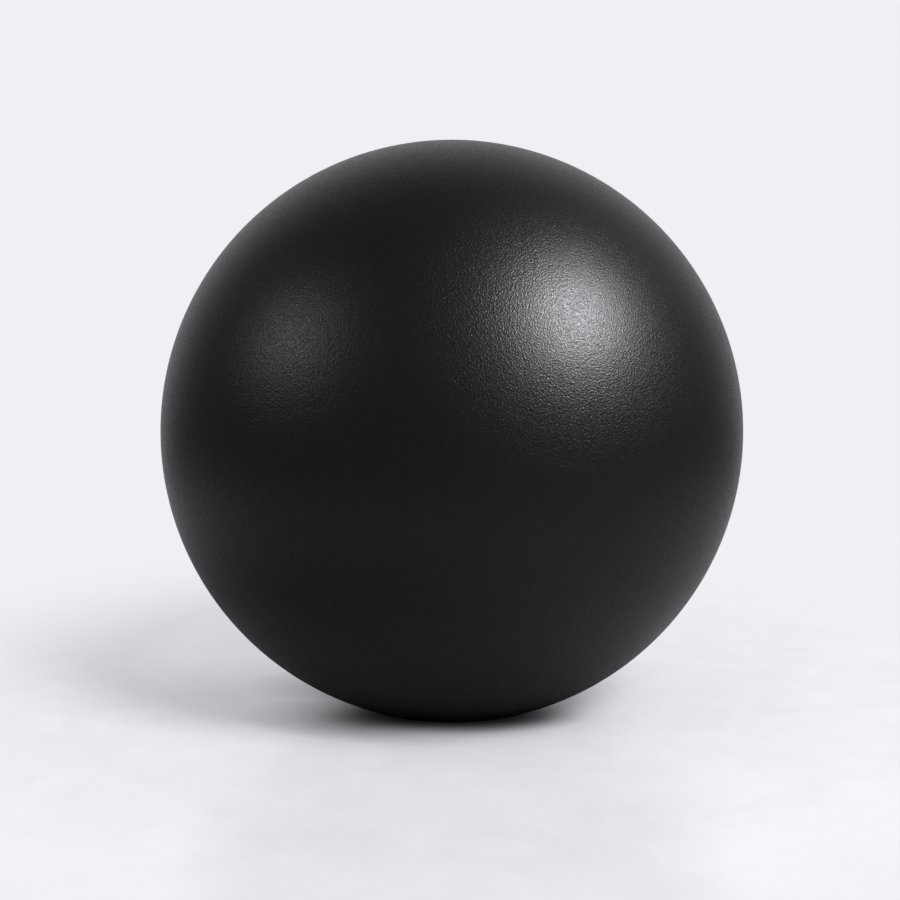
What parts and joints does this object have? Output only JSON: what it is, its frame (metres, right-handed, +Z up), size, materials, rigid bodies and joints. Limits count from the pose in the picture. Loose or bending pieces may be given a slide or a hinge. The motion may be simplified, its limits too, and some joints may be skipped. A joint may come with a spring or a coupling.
{
  "type": "pilates ball",
  "caption": "Small inflated exercise ball with a matt leather-grained soft vinyl skin, resting on a slightly flattened foot, with a push-in air plug in a recessed valve.",
  "frame": {"origin": "middle of the flat patch on which the ball rests, on the floor", "axes": "+Z up through the ball's centre, +Y out of the ball along the valve's axis, +X to the right of someone who faces the side away from the valve"},
  "size_m": [0.25, 0.2497, 0.2458],
  "materials": {
    "grained_vinyl": "matt soft vinyl with a fine leather-like grain",
    "insert_vinyl": "smooth satin soft vinyl",
    "plug_plastic": "milky, waxy moulded plastic"
  },
  "bodies": {
    "ball": {"ball_shell": "grained_vinyl", "valve_seat": "insert_vinyl"},
    "plug": {"air_plug": "plug_plastic"}
  },
  "joints": [
    {"name": "plug_pull", "type": "slide", "parent": "ball", "child": "plug", "axis": [0, 1, 0], "range_m": [0, 0.024]}
  ]
}
